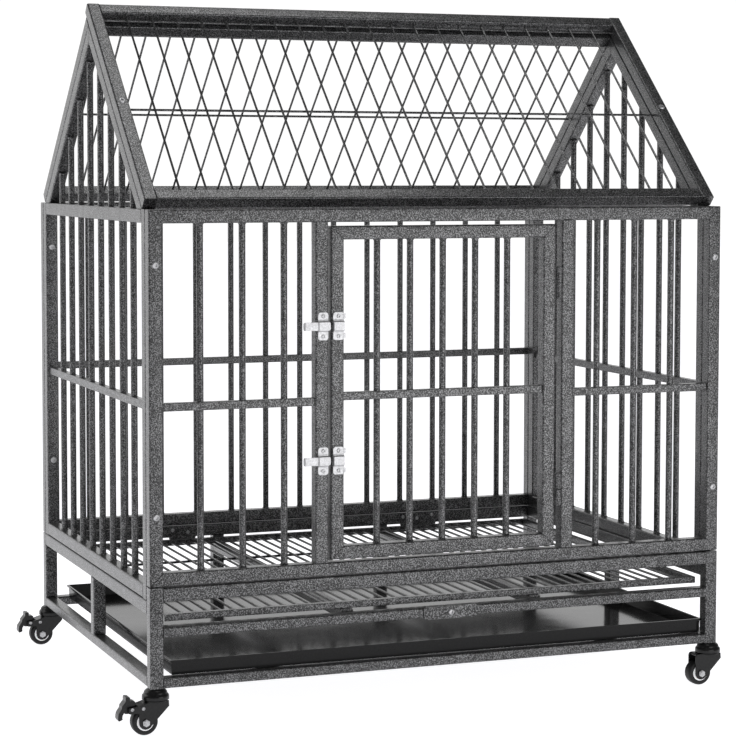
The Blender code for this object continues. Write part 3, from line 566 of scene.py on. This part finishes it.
knuckle_rounding = 0.0008
knuckle_gap = 0.0005
knuckle_sides = 24
for height in ("upper", "lower"):
    for half, body in (("door", "door"), ("post", "cage")):
        node = f"{height}_hinge_{half}_knuckle"
        low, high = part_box(node)
        if half == "post":
            high.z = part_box(f"{height}_hinge_door_knuckle")[0].z - knuckle_gap
        radius = (high.x - low.x) / 2
        tall = high.z - low.z
        barrel = drawn_out([(radius - knuckle_rounding, 0), (radius, knuckle_rounding),
                            (radius, tall - knuckle_rounding), (radius - knuckle_rounding, tall)],
                           knuckle_sides)
        settle(barrel, Matrix.Translation(((low.x + high.x) / 2, (low.y + high.y) / 2, low.z)))
        fit_hammered(weld_up(f"{height}_hinge_{half}_barrel", [barrel]), body, node)


# Tray.  A shallow pan folded from thin steel sheet, with upright sides and a hemmed rim turned
# outwards and down, sprayed gloss black.  It lies on two flat strips of the base and slides out,
# and it is drawn a little forward and to the right on them, where the photo shows its front edge.
tray_sheet = 0.0012
rim_sheet = 0.00096
tray_rim = 0.003
tray_flare = 0.001
tray_hem = 0.0032
rim_drop = 0.0006
sheet_edge = 0.0004
tray_push = Vector((0.003, -0.009, -0.0004))

black_gloss, gloss, start = new_finish("black_gloss", Specular_IOR_Level=0.16, Coat_Weight=0.04,
                                       Coat_Roughness=0.08)
place = start.node("TexCoord", output="Object")
waviness = start.node("TexNoise", {}, {"Vector": place, "Scale": 9.0, "Detail": 2.0, "Roughness": 0.4})
speck = start.node("TexNoise", {}, {"Vector": place, "Scale": 900.0, "Detail": 1.0})
spray_tone = start.node("ValToRGB", {"stops": [(0.3, 0.008), (0.7, 0.014)]}, {"Fac": speck})
ripple = start.node("Bump", {}, {"Strength": 0.2, "Distance": 0.003, "Height": waviness})
start.feed(gloss, {"Base Color": spray_tone, "Roughness": 0.07 + waviness * 0.08, "Normal": ripple})


def eased(piece, width, above=50):
    """Takes the sharpness off the edges that turn by more than an angle."""
    take(piece)
    ease = piece.modifiers.new("ease", "BEVEL")
    ease.width, ease.segments = width, 2
    ease.limit_method, ease.angle_limit = "ANGLE", radians(above)
    bpy.ops.object.modifier_apply(modifier=ease.name)
    return piece


def thickened(piece, gauge, side):
    """Gives a bare surface its sheet thickness, outwards or on both sides."""
    take(piece)
    sheet = piece.modifiers.new("sheet", "SOLIDIFY")
    sheet.thickness, sheet.offset, sheet.use_even_offset = gauge, side, True
    bpy.ops.object.modifier_apply(modifier=sheet.name)
    return piece


def spread(wide, deep, by, middle):
    """The edit step that moves all sides of a level rectangle outwards."""
    return (bpy.ops.transform.resize, {"value": (1 + 2 * by / wide, 1 + 2 * by / deep, 1),
                                       "center_override": middle})


low, high = (corner + tray_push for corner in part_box("tray"))
turn_in = tray_rim + tray_flare
pan_low = Vector((low.x + turn_in, low.y + turn_in, low.z + tray_sheet))
pan_high = Vector((high.x - turn_in, high.y - turn_in, high.z - rim_drop))
middle = (pan_low + pan_high) / 2
wide, deep, _ = pan_high - pan_low
pan = edit(block(pan_low, pan_high), "FACE", lambda f: f.normal.z > 0.9,
           spread(wide, deep, tray_flare, middle),
           (bpy.ops.mesh.delete, {"type": "ONLY_FACE"}))
wide, deep = wide + 2 * tray_flare, deep + 2 * tray_flare
edit(pan, "EDGE", lambda e: e.is_boundary,
     (bpy.ops.mesh.extrude_edges_move, {}),
     spread(wide, deep, tray_rim, middle),
     (bpy.ops.mesh.extrude_edges_move, {"TRANSFORM_OT_translate": {"value": (0, 0, -tray_hem)}}))
eased(thickened(pan, rim_sheet, 1), sheet_edge)
fit(weld_up("tray_pan", [pan]), "tray_drawer", "black_gloss_coat", black_gloss, "tray")


# Turn button.  A round-cornered steel plate, coated like the frame, on one zinc plated screw with
# a raised rim round its socket.  Turned upright it keeps the tray and the wire floor in; it lies
# level here, as in the photo, and lets them out.
button_corner, button_rim = 0.006, 0.0012
head_radius, head_height, head_lift = 0.0046, 0.0024, 0.0002
screw_profile = [(1.0, 0.15), (0.92, 0.65), (0.74, 1.0), (0.54, 1.0), (0.48, 0.02)]
screw_foot, screw_sink = 0.96, 0.0002
screw_sides = 20

bright_zinc, gloss, start = new_finish("bright_zinc_plate", Metallic=0.6)
place = start.node("TexCoord", output="Object")
haze = start.node("TexNoise", {}, {"Vector": place, "Scale": 350.0, "Detail": 3.0})
spangle = start.node("TexVoronoi", {}, {"Vector": place, "Scale": 900.0})
zinc_tone = start.node("ValToRGB", {"stops": [(0.3, 0.40), (0.7, 0.58)]}, {"Fac": haze})
start.feed(gloss, {"Base Color": zinc_tone, "Roughness": 0.24 + spangle * 0.14,
                   "Normal": start.node("Bump", {}, {"Strength": 0.15, "Distance": 0.0002, "Height": haze})})


def blank_plate(low, high, corner, rim=sheet_edge):
    """A flat plate that faces the front, with round corners and an eased rim."""
    low, high = Vector(low), Vector(high)
    thick = high.y - low.y
    plate = edit(block(low, high), "EDGE",
                 lambda e: abs((e.verts[0].co - e.verts[1].co).y) > thick / 2,
                 (bpy.ops.mesh.bevel, {"offset": corner, "segments": 5}))
    return eased(plate, rim)


def socket_screw(point, facing, radius, height):
    """A low domed screw head with a socket in it, seated at a point and facing outwards."""
    rings = [(radius * screw_foot, -screw_sink)]
    rings += [(radius * wide, height * tall) for wide, tall in screw_profile]
    turn = Vector(facing).to_track_quat("Z", "Y").to_matrix().to_4x4()
    return settle(drawn_out(rings, screw_sides), Matrix.Translation(point) @ turn)


low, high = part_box("turn_button")
button = blank_plate(low, high, button_corner, button_rim)
fit_hammered(weld_up("swing_button", [button]), "button", "turn_button")
screw_low, screw_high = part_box("turn_button_screw")
seat = ((screw_low.x + screw_high.x) / 2, low.y - head_lift, (screw_low.z + screw_high.z) / 2)
screw = socket_screw(seat, (0, -1, 0), head_radius, head_height)
fit(weld_up("swing_button_screw", [screw]), "cage", "bright_zinc", bright_zinc, "turn_button_screw")


# Latches.  Each has a zinc plated plate on the post and another on the door, both with a pressed
# strap over a flat sliding bolt that has a slot and a bent finger tab, and with one screw above
# and one below the strap.
latch_sheet, latch_corner = 0.0012, 0.0042
latch_screw_radius, latch_screw_height, latch_screw_gap = 0.0030, 0.0015, 0.0052
strap_gauge, strap_bend, strap_inset = 0.00096, 0.0005, 0.0006
strap_tall, strap_foot, strap_slant, strap_rise = 0.019, 0.0022, 0.0012, 0.0032
plate_shift, door_plate_shift = 0.0014, 0.00028
tab_rise, tab_half, tab_reach, tab_corner = 0.0145, 0.004, 0.0042, 0.0012
bolt_thick, bolt_corner, bolt_play = 0.0020, 0.0028, 0.0003
slot_far, slot_near, slot_half, slot_corner = 0.0130, 0.0050, 0.0018, 0.0012
finger_place, finger_foot, finger_reach = 0.0046, 0.0036, 0.0056
finger_gauge, finger_bend, finger_inset = 0.0012, 0.0008, 0.001
strip_bend_angle = 25
same_place = 0.00005


def bent_strip(start, across, steps, gauge, bend):
    """A strip of sheet as wide as one vector, bent from step to step and then given its gauge."""
    start, across = Vector(start), Vector(across)
    first = Vector(steps[0])
    bpy.ops.object.select_all(action="DESELECT")
    bpy.ops.mesh.primitive_plane_add(size=1)
    strip = bpy.context.object
    square = Matrix((across, first, across.cross(first).normalized())).transposed().to_4x4()
    settle(strip, Matrix.Translation(start + first / 2) @ square)
    end = start + first
    for step in steps[1:]:
        step = Vector(step)
        edit(strip, "EDGE", lambda e: ((e.verts[0].co + e.verts[1].co) / 2 - end).length < same_place,
             (bpy.ops.mesh.extrude_edges_move, {"TRANSFORM_OT_translate": {"value": step}}))
        end = end + step
    return eased(thickened(strip, gauge, 0), bend, strip_bend_angle)


def strapped_plate(low, high, z):
    """A latch plate with its strap and its two screws."""
    middle, face = (low.x + high.x) / 2, high.y
    plate = blank_plate((low.x, face - latch_sheet, low.z), (high.x, face, high.z), latch_corner)
    flat = strap_tall - 2 * (strap_foot + strap_slant)
    strap = bent_strip((middle, face - latch_sheet - strap_gauge / 2, z - strap_tall / 2),
                       (high.x - low.x - strap_inset, 0, 0),
                       [(0, 0, strap_foot), (0, -strap_rise, strap_slant), (0, 0, flat),
                        (0, strap_rise, strap_slant), (0, 0, strap_foot)], strap_gauge, strap_bend)
    screws = [socket_screw((middle, face - latch_sheet, z + side * (strap_tall / 2 + latch_screw_gap)),
                           (0, -1, 0), latch_screw_radius, latch_screw_height) for side in (1, -1)]
    return [plate, strap] + screws


def slotted_bolt(low, high, z):
    """A latch bolt: a flat tongue with a slot near its tip and a finger tab bent out of it."""
    face = high.y
    tongue = blank_plate((low.x, face - bolt_thick, low.z + bolt_play), (high.x, face, high.z - bolt_play),
                         bolt_corner)
    slot = blank_plate((high.x - slot_far, face - 2 * bolt_thick, z - slot_half),
                       (high.x - slot_near, face + bolt_thick, z + slot_half), slot_corner)
    take(tongue)
    bore = tongue.modifiers.new("bore", "BOOLEAN")
    bore.operation, bore.object = "DIFFERENCE", slot
    bpy.ops.object.modifier_apply(modifier=bore.name)
    bpy.data.objects.remove(slot)
    finger = bent_strip((low.x + finger_place, face - bolt_thick / 2, z),
                        (0, 0, high.z - low.z - finger_inset),
                        [(-finger_foot, 0, 0), (0, -finger_reach, 0)], finger_gauge, finger_bend)
    return [tongue, finger]


for height in ("upper", "lower"):
    low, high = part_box(f"{height}_latch_base")
    z = (low.z + high.z) / 2
    shift = Vector((plate_shift, 0, 0))
    post_plate = weld_up(f"{height}_latch_post_plate", strapped_plate(low + shift, high + shift, z))
    fit(post_plate, "cage", "bright_zinc", bright_zinc, f"{height}_latch_base")

    low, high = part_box(f"{height}_latch_keeper")
    keeper = strapped_plate(low + Vector((door_plate_shift, 0, 0)), high + shift, z)
    for side in (1, -1):
        middle = z + side * tab_rise
        keeper.append(blank_plate((high.x, high.y - latch_sheet, middle - tab_half),
                                  (high.x + tab_reach, high.y, middle + tab_half), tab_corner))
    door_plate = weld_up(f"{height}_latch_door_plate", keeper)
    fit(door_plate, "door", "bright_zinc", bright_zinc, f"{height}_latch_keeper")

    tongue = weld_up(f"{height}_latch_tongue", slotted_bolt(*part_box(f"{height}_latch_bolt"), z))
    fit(tongue, f"{height}_bolt", "bright_zinc", bright_zinc, f"{height}_latch_bolt")


# Casters.  A domed cap over the swivel bearing, a black fork pressed from 2 mm sheet, a zinc plated
# axle bolt with hex nuts, and a black tyre on a white nylon core.  The left ones have a foot brake.
cap_rings = [(0.0190, 0.0504), (0.0198, 0.0509), (0.0198, 0.0548), (0.0193, 0.0570), (0.0181, 0.0582),
             (0.0173, 0.0590), (0.0171, 0.0604), (0.0163, 0.0624), (0.0146, 0.0642), (0.0122, 0.0652),
             (0.0100, 0.0656)]
cap_sides, ring_sides, axle_sides = 40, 32, 16
fork_top, fork_sheet, fork_gap = 0.0497, 0.0020, 0.0210
bridge_play = 0.0004
swivel_ring = [(0.0172, 0.0478), (0.0180, 0.0483), (0.0180, 0.0494), (0.0172, 0.0499)]
cheek_step = (fork_gap + fork_sheet) / 2
cheek_face = cheek_step + fork_sheet / 2
axle_back, axle_z = 0.0175, 0.019457
axle_radius, axle_past = 0.0034, 0.0045
lobe_radius = 0.0100
nut_radius, nut_flat_radius, nut_thick, hex_sides = 0.0056, 0.004928, 0.0034, 6
tyre_radius, tyre_half, tyre_sides = 0.0194, 0.0090, 48
core_radius, core_half, core_sides = 0.0122, 0.0092, 32
pivot_back, pivot_z, pivot_radius = 0.0375, 0.0400, 0.0020
rivet_back, rivet_z, rivet_radius, rivet_height = 0.0211, 0.0403, 0.0027, 0.0012
boss_thick, boss_edge = 0.0150, 0.0006
tread_back, tread_top, tread_wide, tread_gauge, tread_edge = 0.0425, 0.0575, 0.0178, 0.0066, 0.0010


def hazed_finish(name, scale, tones, roughness, bump, **constants):
    """A finish whose tone, gloss and, with some bump, its surface drift with one fine noise."""
    finish, gloss, start = new_finish(name, **constants)
    place = start.node("TexCoord", output="Object")
    haze = start.node("TexNoise", {}, {"Vector": place, "Scale": scale, "Detail": 3.0})
    tone = start.node("ValToRGB", {"stops": list(zip((0.3, 0.7), tones))}, {"Fac": haze})
    start.feed(gloss, {"Base Color": tone, "Roughness": roughness + haze * 0.2})
    if bump:
        grain = start.node("Bump", {}, {"Strength": bump, "Distance": 0.0003, "Height": haze})
        start.feed(gloss, {"Normal": grain})
    return finish


caster_black = hazed_finish("caster_black", 260.0, (0.004, 0.012), 0.22, 0.15, Specular_IOR_Level=0.16,
                            Coat_Weight=0.3, Coat_Roughness=0.06)
tyre_black = hazed_finish("tyre_black", 500.0, (0.008, 0.016), 0.42, 0.2, Specular_IOR_Level=0.3)
# The white core has a faint emission of its own: a painted glow that makes the nylon brighter than the lamps
# light it.
glowing_white_core = hazed_finish("glowing_white_core", 200.0, (0.93, 0.97), 0.35, 0, Subsurface_Weight=0.05,
                          Subsurface_Scale=0.003, Emission_Color=(1, 1, 1, 1), Emission_Strength=0.2)


def cut_sheet(outline, thickness, rim=sheet_edge):
    """A flat shape with the given corners, cut from sheet and stood up to face the front."""
    bpy.ops.object.select_all(action="DESELECT")
    bpy.ops.mesh.primitive_circle_add(vertices=len(outline), radius=0.01, fill_type="NGON")
    blank = bpy.context.object
    for corner, (u, v) in zip(blank.data.vertices, outline):
        corner.co = (u, v, -thickness / 2)
    edit(blank, "FACE", lambda f: True,
         (bpy.ops.mesh.extrude_region_move, {"TRANSFORM_OT_translate": {"value": (0, 0, thickness)}}),
         (bpy.ops.mesh.select_all, {"action": "SELECT"}),
         (bpy.ops.mesh.normals_make_consistent, {"inside": False}))
    return eased(settle(blank, Matrix.Rotation(pi / 2, 4, "X")), rim)


def arc(u, v, radius, start, end, steps):
    """Corners along an arc, for a sheet's outline."""
    turns = [radians(start + (end - start) * k / steps) for k in range(steps + 1)]
    return [(u + radius * cos(turn), v + radius * sin(turn)) for turn in turns]


def moved(piece, x, y, z=0):
    """A piece that was made at the middle of the floor, moved to its place."""
    return settle(piece, Matrix.Translation((x, y, z)))


def lying(rings, x, y, z, sides, closed=False):
    """A round part whose axis lies along the cage's depth."""
    place = Matrix.Translation((x, y, z)) @ Matrix.Rotation(pi / 2, 4, "X")
    return settle(drawn_out(rings, sides, closed), place)


def wheel_rings(half):
    """A wheel part's closed outline from its one half, each point a radius and a way out."""
    rings = [(radius, -out) for radius, out in half] + half[::-1]
    return rings + rings[:1]


def swivel_fork(x, y, braked):
    """Two cheeks of sheet, the bridge that joins them over the wheel, and the swivel's ring."""
    edge = -axle_back - lobe_radius
    cheek = [(0.0165, fork_top), (0.0170, 0.0415)] + arc(-axle_back, axle_z, lobe_radius, -28, -180, 12)
    if braked:
        cheek += [(edge, 0.0335), (-0.0400, 0.0335)] + arc(-0.0405, 0.0358, 0.0023, -90, -180, 4)
        cheek += arc(-0.0405, 0.0405, 0.0023, 180, 95, 4) + [(-0.0280, 0.0440), (-0.0090, fork_top)]
        bridge = [(-0.0020, fork_top), (-0.0095, fork_top), (-0.0275, 0.0437), (-0.0275, 0.0419),
                  (-0.0095, fork_top - 0.0018), (-0.0020, fork_top - 0.0018)]
    else:
        cheek += [(edge, 0.0440)] + arc(edge + 0.005, fork_top - 0.005, 0.005, 180, 90, 5)
        bridge = [(-0.0020, fork_top), (edge + 0.005, fork_top), (edge + 0.0015, fork_top - 0.002),
                  (edge + 0.002, fork_top - 0.0035), (edge + 0.006, fork_top - 0.002),
                  (-0.0020, fork_top - 0.002)]
    near = moved(cut_sheet(cheek, fork_sheet), x, y - cheek_step)
    return weld_up("swivel_fork", [near, copied(near, (0, 2 * cheek_step, 0)),
                                   moved(cut_sheet(bridge, fork_gap + bridge_play), x, y),
                                   moved(drawn_out(swivel_ring, ring_sides), x, y)])


def wheel_axle(x, y, braked):
    """The axle bolt and its two nuts, and on a braked caster the brake's pin, its heads and two rivets."""
    out = cheek_face + axle_past
    zinc = [lying([(axle_radius, -out), (axle_radius, out)], x - axle_back, y, axle_z, axle_sides)]
    for way in (1, -1):
        nut = drawn_out([(nut_flat_radius, 0.0002), (nut_radius, 0.0008), (nut_radius, nut_thick - 0.0006),
                         (nut_flat_radius, nut_thick)], hex_sides)
        seat = Matrix.Translation((x - axle_back, y - way * cheek_face, axle_z))
        zinc.append(settle(nut, seat @ Matrix.Rotation(way * pi / 2, 4, "X")))
        spots = [(rivet_back, rivet_z), (pivot_back, pivot_z)] if braked else []
        zinc += [socket_screw((x - back, y - way * cheek_face, z), (0, -way, 0), rivet_radius, rivet_height)
                 for back, z in spots]
    if braked:
        pin = [(pivot_radius, -cheek_face), (pivot_radius, cheek_face)]
        zinc.append(lying(pin, x - pivot_back, y, pivot_z, axle_sides))
    return weld_up("wheel_axle", zinc)


def wheel_tyre(x, y):
    """The tyre, with rounded shoulders."""
    half = [(core_radius + 0.0003, tyre_half - 0.0006), (0.0160, tyre_half), (0.0178, tyre_half - 0.0006),
            (0.0190, tyre_half - 0.0022), (tyre_radius, tyre_half - 0.0046)]
    return weld_up("wheel_tyre", [lying(wheel_rings(half), x - axle_back, y, axle_z, tyre_sides, True)])


def wheel_core(x, y):
    """The core: a hub and a rim with a thinner disc between them."""
    half = [(0.0038, core_half), (0.0062, core_half), (0.0068, core_half - 0.0016),
            (0.0093, core_half - 0.0016), (0.0098, core_half - 0.0004), (core_radius, core_half - 0.0004)]
    return weld_up("wheel_core", [lying(wheel_rings(half), x - axle_back, y, axle_z, core_sides, True)])


def foot_brake(x, y):
    """The brake's pivoted boss and its pressed tread, which runs down in waves."""
    boss = [(-0.0066, 0.0100), (0.0008, 0.0116), (0.0056, 0.0104), (0.0060, 0.0040)]
    boss += arc(0, 0, 0.0050, 20, -40, 5)
    boss += [(0.0040, -0.0074), (0, -0.0074), (-0.0040, -0.0068), (-0.0096, -0.0066)]
    waves = [(-0.0006, -0.0036), (0.0004, -0.0034), (-0.0028, -0.0034), (-0.0030, -0.0036),
             (-0.0002, -0.0036), (-0.0026, -0.0034), (-0.0022, -0.0032), (-0.0006, -0.0032),
             (-0.0002, -0.0030), (0.0010, -0.0026)]
    tread = bent_strip((x - tread_back, y, tread_top), (0, tread_wide, 0),
                       [(back, 0, down) for back, down in waves], tread_gauge, tread_edge)
    return weld_up("foot_brake", [moved(cut_sheet(boss, boss_thick, boss_edge), x - pivot_back, y, pivot_z),
                                  tread])


low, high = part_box("front_left_caster_cap")
left_x, front_y = (low.x + high.x) / 2, (low.y + high.y) / 2
low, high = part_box("rear_right_caster_cap")
right_x, rear_y = (low.x + high.x) / 2, (low.y + high.y) / 2
homes = {"bearing_cap": ("cage", "black_pressed_steel", caster_black, "cap"),
         "swivel_fork": ("fork", "black_pressed_steel", caster_black, "fork"),
         "wheel_axle": ("fork", "bright_zinc", bright_zinc, "axle"),
         "wheel_tyre": ("wheel", "black_tyre", tyre_black, "tyre"),
         "wheel_core": ("wheel", "white_nylon", glowing_white_core, "hub"),
         "foot_brake": ("pedal", "black_pressed_steel", caster_black, "brake_pedal")}
for side, x in (("left", left_x), ("right", right_x)):
    braked = side == "left"
    made = {"bearing_cap": weld_up("bearing_cap", [moved(drawn_out(cap_rings, cap_sides), x, front_y)]),
            "swivel_fork": swivel_fork(x, front_y, braked), "wheel_axle": wheel_axle(x, front_y, braked),
            "wheel_tyre": wheel_tyre(x, front_y), "wheel_core": wheel_core(x, front_y)}
    if braked:
        made["foot_brake"] = foot_brake(x, front_y)
    for part, front_piece in made.items():
        rear_piece = copied(front_piece, (0, rear_y - front_y, 0))
        body, slot, finish, node = homes[part]
        for row, piece in (("front", front_piece), ("rear", rear_piece)):
            corner = f"{row}_{side}"
            piece.name = f"{corner}_{part}"
            home = body if body == "cage" else f"{corner}_{body}"
            fit(piece, home, slot, finish, f"{corner}_caster_{node}")


# Wall bolts and joining plates.  Zinc plated screws hold the walls to each other and the roof's side
# rails to the gables.  At the back of the base, under the wire floor's edge, they hold two joining
# plates that are coated like the frame.
wall_screw, inner_screw, small_screw = (0.0050, 0.0022), (0.0052, 0.0024), (0.0032, 0.0015)
plate_screw = (0.0032, 0.0016)
bolt_heights = (0.673, 0.3135)
inner_screw_rise = 0.005
back_screw_sink = 0.0016
roof_screw_up = 0.212
plate_thick, plate_corner = 0.0014, 0.002
plate_foot, plate_head = 0.1680, 0.1905
plate_spans = ((-0.222, -0.174), (0.2086, 0.2777))
plate_screws = ((-0.2157, 0.1838), (-0.1881, 0.1791), (0.214, 0.1839), (0.2409, 0.1801), (0.2697, 0.1852))

low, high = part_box("front_frame")
corner_x = (low.x + tube / 2, high.x - tube / 2)
bolts = [socket_screw((x, low.y, z), (0, -1, 0), *wall_screw) for x in corner_x for z in bolt_heights]
low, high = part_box("left_side_panel")
bolts += [socket_screw((corner_x[0], high.y - tube, z + inner_screw_rise), (0, -1, 0), *inner_screw)
          for z in bolt_heights]
low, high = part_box("back_panel")
bolts += [socket_screw((x, high.y - back_screw_sink, z), (0, 1, 0), *small_screw)
          for x in corner_x for z in bolt_heights]
up_slope = Vector((0, cos(roof_slope), sin(roof_slope)))
off_slope = Vector((0, -sin(roof_slope), cos(roof_slope)))
for x in corner_x:
    seat = Vector((x, eave.y, eave.z)) + up_slope * roof_screw_up + off_slope * tube
    for facing in (1, -1):
        mirror = Vector((1, facing, 1))
        bolts.append(socket_screw(seat * mirror, off_slope * mirror, *wall_screw))
low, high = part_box("base_back_frame")
bolts += [socket_screw((x, low.y - plate_thick, z), (0, -1, 0), *plate_screw) for x, z in plate_screws]
fit(weld_up("wall_bolts", bolts), "cage", "bright_zinc", bright_zinc)

plates = [blank_plate((x, low.y - plate_thick, plate_foot), (end, low.y, plate_head), plate_corner)
          for x, end in plate_spans]
fit_hammered(weld_up("base_joining_plates", plates), "cage")
